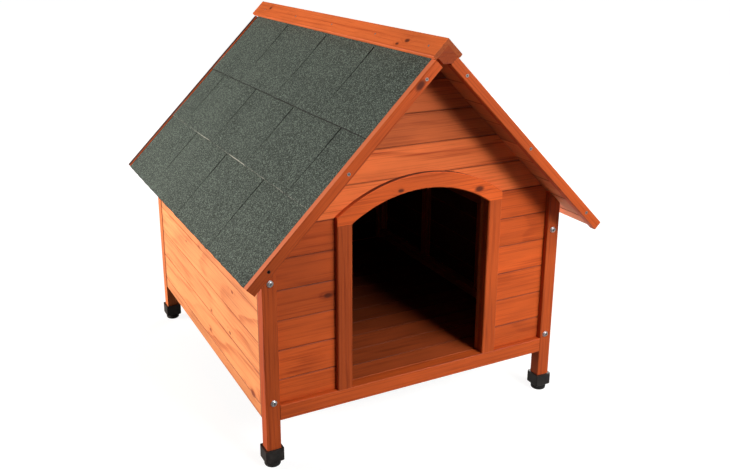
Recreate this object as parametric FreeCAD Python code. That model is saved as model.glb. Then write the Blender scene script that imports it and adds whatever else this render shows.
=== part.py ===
import FreeCAD, Part
import math
import os

# Pitched-roof dog house on four screw feet.
# X runs to the right, Y to the back and Z up. The origin lies on the ground, under the middle
# of the roof. All sizes are in millimetres.

# Body
body_width = 830.0  # over the outer faces of the posts
body_depth = 930.0  # from the front faces of the front posts to the back faces of the rear ones
post_width = 36.0
post_depth = 32.0
post_round = 2.5
fit_gap = 0.3  # joiner's gap between boards and what they end against

# Roof, measured along its slope from the ridge line and square to it
roof_pitch = 45.0  # degrees
ridge_height = 984.0  # where the two roof planes meet, just under the ridge cap
slope_length = 677.0
front_overhang = 84.0  # past the front faces of the posts
rear_overhang = 102.0
barge_depth = 25.0
barge_thickness = 20.0
barge_easing = 2.0
left_ridge_gap = 6.0  # the left bargeboards stop short of the ridge beam
underside_depth = 20.0  # from the roof plane down to the underside of the deck
deck_thickness = 13.5
deck_board_cover = 75.0
underlay_thickness = 1.0
shingle_thickness = 2.2
shingle_tab_width = 275.0
shingle_slot_width = 5.0
shingle_lap = 40.0
shingle_ramp = 8.0
shingle_drip = 3.0
upper_course_exposure = 270.0  # from the ridge line to the lower edge of the upper course
middle_course_exposure = 196.0

# Ridge
beam_side = 36.0
beam_bottom_flat = 22.0  # width of the flat planed on the beam's lower corner
cap_width = 42.0
cap_thickness = 11.0
cap_easing = 1.5
cap_nails = 5  # in each cap board
cap_nail_margin = 48.0  # from the ends of the board
cap_nail_stagger = 26.0  # between the nails of the left and the right cap board
cap_nail_radius = 1.4
cap_nail_length = 34.0
cap_nail_head_radius = 2.8
cap_nail_head_height = 1.2

# Walls
rail_bottom = 121.0
rail_height = 38.5
rail_easing = 1.2
board_recess = 14.0  # boards behind the front faces of the posts
board_thickness = 11.0
board_gap = 0.5
board_bevel = 1.4
tongue_length = 4.0
tongue_thickness = 3.6
tongue_clearance = 0.2
lowest_board_height = 60.0
wall_board_cover = 75.0
filler_strip_height = 19.0  # strip under the lowest board, right of the doorway
side_bottom = 117.0
side_recess = 2.0
side_lowest_board_height = 35.0
side_board_cover = 80.0
side_rail_width = 28.0
side_rail_height = 30.0
lower_bolt_height = 171.0  # also the middle of the lower side rails
upper_bolt_drop = 69.0  # below the outer corners of the post tops, level with the upper side rails
stud_batten_width = 28.0
stud_batten_thickness = 18.0
stud_batten_offset = 155.0  # from the middle of the wall
cleat_width = 22.0
gable_batten_side = 18.0
deck_batten_width = 28.0
deck_batten_depth = 20.0
deck_batten_offset = 155.0

# Doorway
door_half_width = 189.5
door_spring_height = 579.5
arch_rise = 58.5
trim_width = 38.5
trim_easing = 2.0
board_setback = 1.0  # the cut boards stand behind the edge of the trim
door_batten_width = 28.0
door_batten_thickness = 12.0
door_batten_rise = 12.0  # past the foot of the arch

# Floor
floor_thickness = 11.0
floor_board_cover = 73.0
first_floor_board = 64.0
floor_batten_width = 40.0
floor_batten_depth = 18.0
floor_batten_offset = 300.0
ledger_width = 18.0

# Feet
foot_cap_bottom = 14.0
foot_cap_height = 34.0
foot_cap_wall = 5.25
foot_cap_floor = 6.0
foot_cap_clearance = 0.25
foot_cap_round = 3.5
pad_radius = 20.0
pad_height = 13.4
pad_round = 5.0
pad_pocket_radius = 9.0
pad_pocket_depth = 4.3
pad_floor = 4.0
stud_radius = 4.0
stud_top = 60.0
stud_fit = 0.05
collar_across_flats = 13.0
collar_thickness = 3.8
collar_gap = 0.3
nut_across_flats = 13.0
nut_thickness = 6.5
nut_pocket_clearance = 0.4
stud_hole_clearance = 0.6
stud_hole_spare = 8.0  # depth of the hole past the tip of the stud

# Fasteners
bolt_radius = 3.0
bolt_length = 62.0
bolt_head_radius = 6.5
bolt_head_height = 4.0
bolt_head_round = 2.0
bolt_inset = 20.0  # from the outer side of the post
bolt_clearance = 0.2
pilot_clearance = 0.05
washer_radius = 8.0
washer_thickness = 1.2
recess_length = 7.0
recess_width = 1.3
recess_depth = 1.8
screw_recess_length = 4.8
screw_recess_depth = 1.5
screw_radius = 2.0
screw_head_radius = 4.0
screw_head_height = 2.4
barge_screw_length = 45.0
first_barge_screw = 86.0  # along the slope from the ridge line
barge_screw_spacing = 266.0
barge_screws_per_board = 3
dowel_radius = 4.0
dowel_length = 30.0
dowel_spacing = 18.0

# Worked out from the sizes above
far = 3000.0
pitch = math.radians(roof_pitch)
roof_length = front_overhang + body_depth + rear_overhang
roof_front = -roof_length / 2
roof_back = roof_length / 2
body_front = roof_front + front_overhang
body_back = body_front + body_depth
body_middle = (body_front + body_back) / 2
outer_x = body_width / 2
inner_x = outer_x - post_width
rail_top = rail_bottom + rail_height
post_x = outer_x - post_width / 2
post_rows = (body_front + post_depth / 2, body_back - post_depth / 2)
side_outer_x = outer_x - side_recess
side_inner_x = side_outer_x - board_thickness
side_rail_x = side_inner_x - side_rail_width
arch_radius = (door_half_width ** 2 + arch_rise ** 2) / (2 * arch_rise)
arch_centre = door_spring_height + arch_rise - arch_radius
deck_top = -underside_depth + deck_thickness
underlay_top = deck_top + underlay_thickness
skin_front = roof_front + barge_thickness + fit_gap
skin_back = roof_back - barge_thickness - fit_gap
bolt_x = outer_x - bolt_inset
post_top = ridge_height - outer_x * math.tan(pitch) - underside_depth / math.cos(pitch)
upper_bolt_height = post_top - upper_bolt_drop
cap_nail_spacing = (roof_length - 2 * cap_nail_margin - cap_nail_stagger) / (cap_nails - 1)
middle_course_edge = upper_course_exposure + middle_course_exposure
post_bottom = foot_cap_bottom + foot_cap_floor + fit_gap
foot_cap_chamfer = foot_cap_round * 0.85
collar_bottom = pad_height - pad_pocket_depth + collar_gap
stud_bottom = pad_floor + collar_gap
roof_frame = FreeCAD.Placement(
    FreeCAD.Vector(0, 0, ridge_height),
    FreeCAD.Rotation(FreeCAD.Vector(0, 1, 0), roof_pitch),
)


def vec(x, y, z):
    return FreeCAD.Vector(x, y, z)


def box(x0, x1, y0, y1, z0, z1):
    """Box between two corners, whichever way round they come."""
    low = vec(min(x0, x1), min(y0, y1), min(z0, z1))
    return Part.makeBox(abs(x1 - x0), abs(y1 - y0), abs(z1 - z0), low)


def prism(points, along):
    """Solid with the given outline, drawn out along a vector."""
    return Part.Face(Part.makePolygon(points + [points[0]])).extrude(along)


def long_edges(shape, direction):
    """Straight edges that run along the given direction."""
    found = []
    for edge in shape.Edges:
        if isinstance(edge.Curve, Part.Line) and abs(edge.Curve.Direction.dot(direction)) > 0.999:
            found.append(edge)
    return found


def mirrored(shape):
    return shape.mirror(vec(0, 0, 0), vec(1, 0, 0))


def on_side(shape, side):
    """The shape made for the right side, or its mirror image on the left."""
    return shape if side > 0 else mirrored(shape)


def into_roof(shape, side):
    """Carry a shape from flat (X down the slope, Z out of it) to the roof."""
    shape.Placement = roof_frame.multiply(shape.Placement)
    return on_side(shape, side)


def roof_slab(side, top, bottom, low, high, front=-far, back=far):
    """Slab on one slope: top and bottom run down the slope, low and high square to it."""
    return into_roof(box(top, bottom, front, back, low, high), side)


def below_roof(shape, depth):
    """What is left of a shape under the plane that lies this deep below both roof planes."""
    for side in (1, -1):
        shape = shape.cut(roof_slab(side, -far, far, -depth, far))
    return shape


def slope_at(x, depth):
    """Distance down the slope at which a plane this deep under the roof reaches x."""
    return (x + depth * math.sin(pitch)) / math.cos(pitch)


def row_edges(start, stop, first, cover):
    """Edges of a row of boards: the first has its own width, the rest the full cover."""
    edges = [start, start + first]
    while edges[-1] < stop:
        edges.append(edges[-1] + cover)
    return list(zip(edges[:-1], edges[1:]))


def board_section(width, thickness, groove, tongue):
    """Outline of a tongued and grooved board, its bevelled face at depth 0."""
    low = board_gap / 2
    high = width - board_gap / 2
    middle = thickness / 2
    tongue_half = tongue_thickness / 2
    groove_half = tongue_half + tongue_clearance
    groove_end = low + tongue_length + tongue_clearance
    points = [(low + board_bevel, 0), (high - board_bevel, 0), (high, board_bevel)]
    if tongue:
        points += [(high, middle - tongue_half), (high + tongue_length, middle - tongue_half)]
        points += [(high + tongue_length, middle + tongue_half), (high, middle + tongue_half)]
    points += [(high, thickness), (low, thickness)]
    if groove:
        points += [(low, middle + groove_half), (groove_end, middle + groove_half)]
        points += [(groove_end, middle - groove_half), (low, middle - groove_half)]
    points.append((low, board_bevel))
    return points


def board(width, thickness, groove, tongue, origin, across, deep, along):
    """Board from its section: origin, two unit vectors for the section, one for the length."""
    points = []
    for step, depth in board_section(width, thickness, groove, tongue):
        points.append(origin + across * step + deep * depth)
    return prism(points, along)


def drilled(shape, holes):
    """The shape with those of the holes cut out of it that reach it."""
    for hole in holes:
        if hole.BoundBox.intersect(shape.BoundBox):
            shape = shape.cut(hole)
    return shape


def hexagon(across_flats, bottom, height):
    corner = across_flats / math.sqrt(3)
    points = []
    for turn in range(6):
        angle = math.radians(60 * turn)
        points.append(vec(corner * math.cos(angle), corner * math.sin(angle), bottom))
    return prism(points, vec(0, 0, height))


# Frame and feet

def corners():
    """Name, side and end of each corner of the body."""
    for end, end_name in ((0, "front"), (1, "rear")):
        for side, side_name in ((-1, "left"), (1, "right")):
            yield end_name + "_" + side_name, side, end


def at_bolts(shape):
    """A copy of the shape at each bolt: made to run along +Y, turned to run into its post."""
    copies = []
    for name, side, end in corners():
        for height in (lower_bolt_height, upper_bolt_height):
            copy = shape.copy()
            if end == 1:
                copy.rotate(vec(0, 0, 0), vec(0, 0, 1), 180)
            face = body_front if end == 0 else body_back
            copy.translate(vec(side * bolt_x, face, height))
            copies.append(copy)
    return copies


def bolt_holes(clearance):
    """Straight holes for the bolts, each a little longer than its bolt."""
    radius = bolt_radius + clearance
    return at_bolts(Part.makeCylinder(radius, bolt_length + clearance, vec(0, 0, 0), vec(0, 1, 0)))


def post_bolt():
    """Pan head with a cross recess on a plain shank, its seat one washer before the post."""
    seat = vec(0, -washer_thickness, 0)
    shank = Part.makeCylinder(bolt_radius, bolt_length, seat, vec(0, 1, 0))
    head = Part.makeCylinder(bolt_head_radius, bolt_head_height, seat, vec(0, -1, 0))
    front = seat.y - bolt_head_height
    rim = [edge for edge in head.Edges if edge.BoundBox.YMax < front + 0.001]
    head = head.makeFillet(bolt_head_round, rim)
    half = recess_length / 2
    thin = recess_width / 2
    head = head.cut(box(-half, half, front - 1, front + recess_depth, -thin, thin))
    head = head.cut(box(-thin, thin, front - 1, front + recess_depth, -half, half))
    return head.fuse(shank).removeSplitter()


def post_washer():
    outward = vec(0, -1, 0)
    ring = Part.makeCylinder(washer_radius, washer_thickness, vec(0, 0, 0), outward)
    hole = Part.makeCylinder(bolt_radius + bolt_clearance, washer_thickness, vec(0, 0, 0), outward)
    return ring.cut(hole)


def dowels(extra):
    """Dowels that join the end rails to the posts, extra added to their radius and length."""
    shapes = []
    rail_middle = rail_bottom + rail_height / 2
    for name, side, end in corners():
        for step in (-dowel_spacing / 2, dowel_spacing / 2):
            start = vec(side * inner_x - dowel_length / 2 - extra, post_rows[end], rail_middle + step)
            shapes.append(
                Part.makeCylinder(dowel_radius + extra, dowel_length + 2 * extra, start, vec(1, 0, 0))
            )
    return shapes


def post(side, end):
    """Square leg, cut off at the slope under the roof deck, drilled for its fasteners."""
    front = body_front if end == 0 else body_back - post_depth
    leg = box(inner_x, outer_x, front, front + post_depth, post_bottom, ridge_height)
    leg = leg.makeFillet(post_round, long_edges(leg, vec(0, 0, 1)))
    leg = on_side(leg, side)
    leg = below_roof(leg, underside_depth + fit_gap)
    centre = vec(side * post_x, post_rows[end], post_bottom)
    pocket_radius = nut_across_flats / math.sqrt(3) + nut_pocket_clearance
    leg = leg.cut(Part.makeCylinder(pocket_radius, nut_thickness + fit_gap, centre))
    hole_depth = stud_top + stud_hole_spare - post_bottom
    leg = leg.cut(Part.makeCylinder(stud_radius + stud_hole_clearance, hole_depth, centre))
    return drilled(leg, bolt_holes(bolt_clearance) + dowels(pilot_clearance))


def foot_cap(side, end):
    """Square socket over the end of a leg, its lower edges cut back, with a hole for the stud."""
    half_x = post_width / 2 + foot_cap_clearance + foot_cap_wall
    half_y = post_depth / 2 + foot_cap_clearance + foot_cap_wall
    top = foot_cap_bottom + foot_cap_height
    cap = box(-half_x, half_x, -half_y, half_y, foot_cap_bottom, top)
    cap = cap.makeFillet(foot_cap_round, long_edges(cap, vec(0, 0, 1)))
    lower = []
    for edge in cap.Edges:
        if edge.BoundBox.ZMax < foot_cap_bottom + 0.001:
            lower.append(edge)
    cap = cap.makeChamfer(foot_cap_chamfer, lower)
    inside_x = half_x - foot_cap_wall
    inside_y = half_y - foot_cap_wall
    cap = cap.cut(box(-inside_x, inside_x, -inside_y, inside_y, foot_cap_bottom + foot_cap_floor, top))
    hole_radius = stud_radius + stud_hole_clearance
    cap = cap.cut(Part.makeCylinder(hole_radius, foot_cap_height, vec(0, 0, foot_cap_bottom)))
    cap.translate(vec(side * post_x, post_rows[end], 0))
    return cap


def foot_pad(side, end):
    """Round pad with a rounded foot, a pocket for the screw's collar and a blind seat."""
    pad = Part.makeCylinder(pad_radius, pad_height)
    rim = [edge for edge in pad.Edges if edge.BoundBox.ZMax < 0.001]
    pad = pad.makeFillet(pad_round, rim)
    pocket = vec(0, 0, pad_height - pad_pocket_depth)
    pad = pad.cut(Part.makeCylinder(pad_pocket_radius, pad_height, pocket))
    pad = pad.cut(Part.makeCylinder(stud_radius + stud_fit, pad_height, vec(0, 0, pad_floor)))
    pad.translate(vec(side * post_x, post_rows[end], 0))
    return pad


def foot_screw(side, end):
    """Screw of the foot: a shank with a six-sided collar to turn it by."""
    shank = Part.makeCylinder(stud_radius, stud_top - stud_bottom, vec(0, 0, stud_bottom))
    collar = hexagon(collar_across_flats, collar_bottom, collar_thickness)
    stud = shank.fuse(collar).removeSplitter()
    stud.translate(vec(side * post_x, post_rows[end], 0))
    return stud


def foot_nut(side, end):
    seat = foot_cap_bottom + foot_cap_floor
    nut = hexagon(nut_across_flats, seat, nut_thickness)
    nut = nut.cut(Part.makeCylinder(stud_radius + stud_fit, nut_thickness, vec(0, 0, seat)))
    nut.translate(vec(side * post_x, post_rows[end], 0))
    return nut


# End walls

def wall_face(end):
    """Place of the outer face of an end wall's boards, and the way into the house from it."""
    if end == 0:
        return body_front + board_recess, 1
    return body_back - board_recess, -1


def end_rail(end):
    """Bottom rail between the two posts of an end wall, flush with their faces."""
    front = body_front if end == 0 else body_back - post_depth
    reach = inner_x - fit_gap
    rail = box(-reach, reach, front, front + post_depth, rail_bottom, rail_top)
    rail = rail.makeChamfer(rail_easing, long_edges(rail, vec(1, 0, 0)))
    return drilled(rail, dowels(pilot_clearance))


def beam_outline(extra):
    """Corner points (x, z) of the ridge beam, grown all round by extra."""
    side = beam_side + extra
    corner_x = side * math.cos(pitch) + extra * math.sin(pitch)
    corner_z = ridge_height - side * math.sin(pitch) + extra * math.cos(pitch)
    flat_half = beam_bottom_flat / 2
    drop = (corner_x - flat_half) / math.tan(pitch)
    peak_z = ridge_height + extra / math.cos(pitch)
    return [
        (0, peak_z),
        (corner_x, corner_z),
        (flat_half, corner_z - drop),
        (-flat_half, corner_z - drop),
        (-corner_x, corner_z),
    ]


def beam_solid(extra, front, back):
    points = [vec(x, front, z) for x, z in beam_outline(extra)]
    return prism(points, vec(0, back - front, 0))


def doorway(spread, front, back):
    """Solid that fills the doorway, spread wider all round, from the rail's top up."""
    half = door_half_width + spread
    radius = arch_radius + spread
    spring = arch_centre + math.sqrt(radius ** 2 - half ** 2)
    low_left = vec(-half, front, rail_top - fit_gap)
    low_right = vec(half, front, rail_top - fit_gap)
    left = vec(-half, front, spring)
    right = vec(half, front, spring)
    crown = vec(0, front, arch_centre + radius)
    edges = [
        Part.LineSegment(left, low_left),
        Part.LineSegment(low_left, low_right),
        Part.LineSegment(low_right, right),
        Part.Arc(right, crown, left),
    ]
    outline = Part.Wire([edge.toShape() for edge in edges])
    return Part.Face(outline).extrude(vec(0, back - front, 0))


def end_wall_boards(end):
    """Boards of an end wall, row by row, cut to the roof and round the ridge beam."""
    face, inward = wall_face(end)
    reach = inner_x - fit_gap
    peak = ridge_height - underside_depth / math.cos(pitch)
    rows = row_edges(rail_top, peak, lowest_board_height, wall_board_cover)
    beam = beam_solid(fit_gap, -far, far)
    boards = []
    for index, (low, high) in enumerate(rows):
        start = vec(-reach, face, low)
        across = vec(0, 0, 1)
        deep = vec(0, inward, 0)
        along = vec(2 * reach, 0, 0)
        blank = board(high - low, board_thickness, index > 0, True, start, across, deep, along)
        boards.append(below_roof(blank, underside_depth + fit_gap).cut(beam))
    return boards


def front_wall_boards():
    """The front wall's boards, sorted by where they lie round the doorway."""
    opening = doorway(board_setback, -far, far)
    split = rail_top + filler_strip_height
    strip_gap = box(0, far, -far, far, split - board_gap / 2, split + board_gap / 2)
    sorted_boards = {"left": [], "right": [], "arch": [], "gable": []}
    for blank in end_wall_boards(0):
        crossing = blank.common(opening).Volume > 1
        for piece in blank.cut(opening).Solids:
            if not crossing:
                sorted_boards["gable"].append(piece)
            elif piece.BoundBox.XMin < 0 < piece.BoundBox.XMax:
                sorted_boards["arch"].append(piece)
            elif piece.CenterOfMass.x < 0:
                sorted_boards["left"].append(piece)
            else:
                sorted_boards["right"].extend(piece.cut(strip_gap).Solids)
    return sorted_boards


def rear_wall_boards():
    pieces = []
    for blank in end_wall_boards(1):
        pieces.extend(blank.Solids)
    return pieces


def corner_cleats():
    """Strips behind the ends of the end walls' boards, flush with the backs of the posts."""
    pieces = []
    batten_low = underside_depth + gable_batten_side
    for name, side, end in corners():
        face, inward = wall_face(end)
        back_of_boards = face + inward * board_thickness
        back_of_post = body_front + post_depth if end == 0 else body_back - post_depth
        reach = inner_x - fit_gap
        strip = box(reach - cleat_width, reach, back_of_boards, back_of_post, rail_top, far)
        strip = on_side(strip, side)
        pieces.append(below_roof(strip, batten_low + fit_gap))
    return pieces


def gable_battens():
    """Sloping battens inside the gables, under the deck and against the boards."""
    pieces = []
    top = max(beam_side, underside_depth + gable_batten_side) + 2 * fit_gap
    bottom = slope_at(inner_x - fit_gap, underside_depth)
    for name, side, end in corners():
        face, inward = wall_face(end)
        start = face + inward * board_thickness
        stop = start + inward * gable_batten_side
        low = -underside_depth - gable_batten_side
        batten = roof_slab(side, top, bottom, low, -underside_depth, min(start, stop), max(start, stop))
        pieces.append(batten)
    return pieces


def door_jamb(side):
    """Upright trim of the doorway, flush with the posts, from the rail to the arch."""
    left = door_half_width
    right = door_half_width + trim_width
    back = body_front + board_recess
    jamb = box(left, right, body_front, back, rail_top, door_spring_height)
    jamb = jamb.makeChamfer(trim_easing, long_edges(jamb, vec(0, 0, 1)))
    return on_side(jamb, side)


def door_arch():
    """Arched head of the doorway, sawn from one piece, with short upright ends."""
    outer = door_half_width + trim_width
    radius = arch_radius + trim_width
    shoulder = arch_centre + math.sqrt(radius ** 2 - outer ** 2)
    foot = door_spring_height + fit_gap
    left_foot = vec(-outer, body_front, foot)
    left = vec(-outer, body_front, shoulder)
    crown = vec(0, body_front, arch_centre + radius)
    right = vec(outer, body_front, shoulder)
    right_foot = vec(outer, body_front, foot)
    edges = [
        Part.LineSegment(left_foot, left),
        Part.Arc(left, crown, right),
        Part.LineSegment(right, right_foot),
        Part.LineSegment(right_foot, left_foot),
    ]
    outline = Part.Wire([edge.toShape() for edge in edges])
    head = Part.Face(outline).extrude(vec(0, board_recess, 0))
    head = head.cut(doorway(0, -far, far))
    arrises = []
    for edge in head.Edges:
        if isinstance(edge.Curve, Part.Circle) and edge.BoundBox.YMax < body_front + 0.001:
            arrises.append(edge)
    return head.makeChamfer(trim_easing, arrises)


def door_battens():
    """Upright battens behind the boards' cut ends at the doorway."""
    face, inward = wall_face(0)
    start = face + board_thickness
    pieces = []
    for side in (-1, 1):
        left = door_half_width + board_setback
        top = door_spring_height + door_batten_rise
        batten = box(left, left + door_batten_width, start, start + door_batten_thickness, rail_top, top)
        pieces.append(on_side(batten, side).cut(doorway(board_setback, -far, far)))
    return pieces


# Side walls

def side_boards(side):
    """Boards of a side wall between the posts, cut to the slope under the deck."""
    front = body_front + post_depth + fit_gap
    length = body_depth - 2 * post_depth - 2 * fit_gap
    top = ridge_height - side_inner_x * math.tan(pitch) - underside_depth / math.cos(pitch)
    pieces = []
    rows = row_edges(side_bottom, top, side_lowest_board_height, side_board_cover)
    for index, (low, high) in enumerate(rows):
        start = vec(side * side_outer_x, front, low)
        across = vec(0, 0, 1)
        deep = vec(-side, 0, 0)
        along = vec(0, length, 0)
        blank = board(high - low, board_thickness, index > 0, True, start, across, deep, along)
        pieces.append(below_roof(blank, underside_depth + fit_gap))
    return pieces


def side_rail(side, height):
    """Rail inside a side wall, held at both ends by a bolt through the post."""
    front = body_front + post_depth
    back = body_back - post_depth
    half = side_rail_height / 2
    rail = box(side_rail_x, side_inner_x, front, back, height - half, height + half)
    rail = rail.makeChamfer(rail_easing, long_edges(rail, vec(0, 1, 0)))
    return drilled(on_side(rail, side), bolt_holes(pilot_clearance))


def side_battens():
    """Uprights between the two rails of each side wall."""
    low = lower_bolt_height + side_rail_height / 2
    high = upper_bolt_height - side_rail_height / 2
    half = stud_batten_width / 2
    pieces = []
    for side in (-1, 1):
        for offset in (-stud_batten_offset, stud_batten_offset):
            y = body_middle + offset
            inner = side_inner_x - stud_batten_thickness
            batten = box(inner, side_inner_x, y - half, y + half, low, high)
            pieces.append(on_side(batten, side))
    return pieces


# Floor

def floor_boards():
    """Floor boards from side to side, level with the tops of the end rails."""
    front = body_front + post_depth + fit_gap
    back = body_back - post_depth - fit_gap
    reach = side_rail_x - fit_gap
    limit = box(-far, far, front, back, 0, rail_top)
    pieces = []
    rows = row_edges(front, back, first_floor_board, floor_board_cover)
    for index, (low, high) in enumerate(rows):
        start = vec(-reach, low, rail_top)
        across = vec(0, 1, 0)
        deep = vec(0, 0, -1)
        along = vec(2 * reach, 0, 0)
        blank = board(high - low, floor_thickness, index > 0, True, start, across, deep, along)
        pieces.append(blank.common(limit))
    return pieces


def floor_battens():
    """Battens nailed under the floor boards, between the two ledgers."""
    top = rail_top - floor_thickness
    front = body_front + post_depth + ledger_width + fit_gap
    back = body_back - post_depth - ledger_width - fit_gap
    half = floor_batten_width / 2
    pieces = []
    for x in (-floor_batten_offset, 0, floor_batten_offset):
        pieces.append(box(x - half, x + half, front, back, top - floor_batten_depth, top))
    return pieces


def floor_ledgers():
    """Strips on the inner faces of the end rails that carry the floor."""
    top = rail_top - floor_thickness
    reach = side_rail_x - fit_gap
    front = body_front + post_depth
    back = body_back - post_depth
    return [
        box(-reach, reach, front, front + ledger_width, rail_bottom, top),
        box(-reach, reach, back - ledger_width, back, rail_bottom, top),
    ]


# Roof

def screw_shape(length, extra):
    """Countersunk screw along +Y, the top of its head at Y = 0, extra added all round."""
    inward = vec(0, 1, 0)
    wide = screw_head_radius + extra
    narrow = screw_radius + extra
    head = Part.makeCone(wide, narrow, screw_head_height, vec(0, 0, 0), inward)
    shank = Part.makeCylinder(narrow, length + extra, vec(0, 0, 0), inward)
    return head.fuse(shank).removeSplitter()


def screw_recess():
    """Cutter for the cross in the head of a screw along +Y."""
    half = screw_recess_length / 2
    thin = recess_width / 2
    level = box(-half, half, -1, screw_recess_depth, -thin, thin)
    upright = box(-thin, thin, -1, screw_recess_depth, -half, half)
    return level.fuse(upright)


def at_barge_screws(shape, side):
    """A copy of the shape at each screw through the two bargeboards of a slope."""
    copies = []
    for index in range(barge_screws_per_board):
        for end in (0, 1):
            copy = shape.copy()
            if end == 1:
                copy.rotate(vec(0, 0, 0), vec(0, 0, 1), 180)
            along = first_barge_screw + index * barge_screw_spacing
            face = roof_front if end == 0 else roof_back
            copy.translate(vec(along, face, -barge_depth / 2))
            copies.append(into_roof(copy, side))
    return copies


def barge_screws(side):
    screw = screw_shape(barge_screw_length, 0).cut(screw_recess())
    return at_barge_screws(screw, side)


def barge_screw_holes(side):
    return at_barge_screws(screw_shape(barge_screw_length, pilot_clearance), side)


def cap_nail_shapes(side, extra):
    """Nails down through a ridge cap board into the ridge beam, extra added all round."""
    shapes = []
    down = vec(0, 0, -1)
    top = vec(beam_side / 2, 0, cap_thickness)
    head = Part.makeCylinder(cap_nail_head_radius + extra, cap_nail_head_height + extra, top, down)
    shank = Part.makeCylinder(cap_nail_radius + extra, cap_nail_length + extra, top, down)
    nail = head.fuse(shank).removeSplitter()
    for index in range(cap_nails):
        step = index - (cap_nails - 1) / 2
        copy = nail.copy()
        copy.translate(vec(0, step * cap_nail_spacing + side * cap_nail_stagger / 2, 0))
        shapes.append(into_roof(copy, side))
    return shapes


def roof_deck(side):
    """Deck boards along the house, their ends behind the bargeboards."""
    top = beam_side + fit_gap
    length = skin_back - skin_front
    screw_holes = barge_screw_holes(side)
    pieces = []
    rows = row_edges(top, slope_length, deck_board_cover, deck_board_cover)
    limit = box(top, slope_length, skin_front, skin_back, -underside_depth, deck_top)
    for index, (low, high) in enumerate(rows):
        start = vec(low, skin_front, -underside_depth)
        across = vec(1, 0, 0)
        deep = vec(0, 0, 1)
        along = vec(0, length, 0)
        blank = board(high - low, deck_thickness, index > 0, True, start, across, deep, along)
        pieces.append(drilled(into_roof(blank.common(limit), side), screw_holes))
    return pieces


def roof_underlay():
    """One sheet of underlay on each slope, between the deck and the shingles."""
    pieces = []
    for side in (-1, 1):
        top = beam_side + fit_gap
        pieces.append(roof_slab(side, top, slope_length, deck_top, underlay_top, skin_front, skin_back))
    return pieces


def shingle_course(side, top, bottom, lapped, covered_to, first_slot):
    """Strip of shingle with slots between its tabs.

    top and bottom are its edges down the slope. Where lapped, its lower end rides up on the
    course below. The slots run from covered_to, under the course above, to the lower edge.
    """
    base = underlay_top
    skin = shingle_thickness
    if lapped:
        rise = bottom - shingle_lap
        outline = [
            (top, base),
            (rise - shingle_ramp, base),
            (rise - fit_gap, base + skin),
            (bottom, base + skin),
            (bottom, base + 2 * skin),
            (rise - fit_gap, base + 2 * skin),
            (rise - shingle_ramp, base + skin),
            (top, base + skin),
        ]
    else:
        outline = [(top, base), (bottom, base), (bottom, base + skin), (top, base + skin)]
    points = [vec(x, skin_front, z) for x, z in outline]
    strip = prism(points, vec(0, skin_back - skin_front, 0))
    half = shingle_slot_width / 2
    slot = first_slot
    while slot < skin_back - half:
        if slot > skin_front + half:
            strip = strip.cut(box(covered_to, far, slot - half, slot + half, -far, far))
        slot += shingle_tab_width
    return into_roof(strip, side)


def shingle_courses(side):
    """Lower, middle and upper course of one slope, the middle one half a tab out of step."""
    hidden = shingle_lap / 4
    beam_edge = beam_side + fit_gap
    in_step = -2 * shingle_tab_width
    out_of_step = -2.5 * shingle_tab_width
    lower_top = middle_course_edge - shingle_lap
    middle_top = upper_course_exposure - shingle_lap
    eave = slope_length + shingle_drip
    lower = shingle_course(side, lower_top, eave, False, middle_course_edge - hidden, in_step)
    middle = shingle_course(
        side, middle_top, middle_course_edge, True, upper_course_exposure - hidden, out_of_step
    )
    upper = shingle_course(side, beam_edge, upper_course_exposure, True, cap_width + 2 * fit_gap, in_step)
    return {"lower": lower, "middle": middle, "upper": upper}


def bargeboard(side, end):
    """Batten along the edge of a slope, level with the roof plane, ends cut square."""
    top = beam_side + fit_gap
    if side < 0:
        top = beam_side + left_ridge_gap
    front = roof_front if end == 0 else roof_back - barge_thickness
    rail = box(top, slope_length, front, front + barge_thickness, -barge_depth, 0)
    rail = rail.makeChamfer(barge_easing, long_edges(rail, vec(1, 0, 0)))
    return drilled(into_roof(rail, side), barge_screw_holes(side))


def deck_battens():
    """Battens under the deck, two to each slope, that tie its boards together."""
    top = max(beam_side, underside_depth + deck_batten_depth) + 2 * fit_gap
    bottom = slope_at(side_inner_x - fit_gap, underside_depth)
    half = deck_batten_width / 2
    pieces = []
    for side in (-1, 1):
        for offset in (-deck_batten_offset, deck_batten_offset):
            y = body_middle + offset
            low = -underside_depth - deck_batten_depth
            pieces.append(roof_slab(side, top, bottom, low, -underside_depth, y - half, y + half))
    return pieces


def ridge_beam():
    beam = beam_solid(0, roof_front, roof_back)
    return drilled(beam, cap_nail_shapes(-1, pilot_clearance) + cap_nail_shapes(1, pilot_clearance))


def ridge_cap(side):
    """Board along the ridge. The left one laps over the upper edge of the right one."""
    overrun = 3 * cap_thickness
    slab = box(-overrun, cap_width, roof_front, roof_back, 0, cap_thickness)
    lower = [edge for edge in long_edges(slab, vec(0, 1, 0)) if edge.CenterOfMass.x > 0]
    slab = into_roof(slab.makeChamfer(cap_easing, lower), side)
    if side < 0:
        slab = slab.cut(roof_slab(1, -far, far, cap_thickness, far))
    else:
        slab = slab.cut(roof_slab(-1, -far, far, 0, far))
    return drilled(slab, cap_nail_shapes(side, pilot_clearance))


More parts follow.
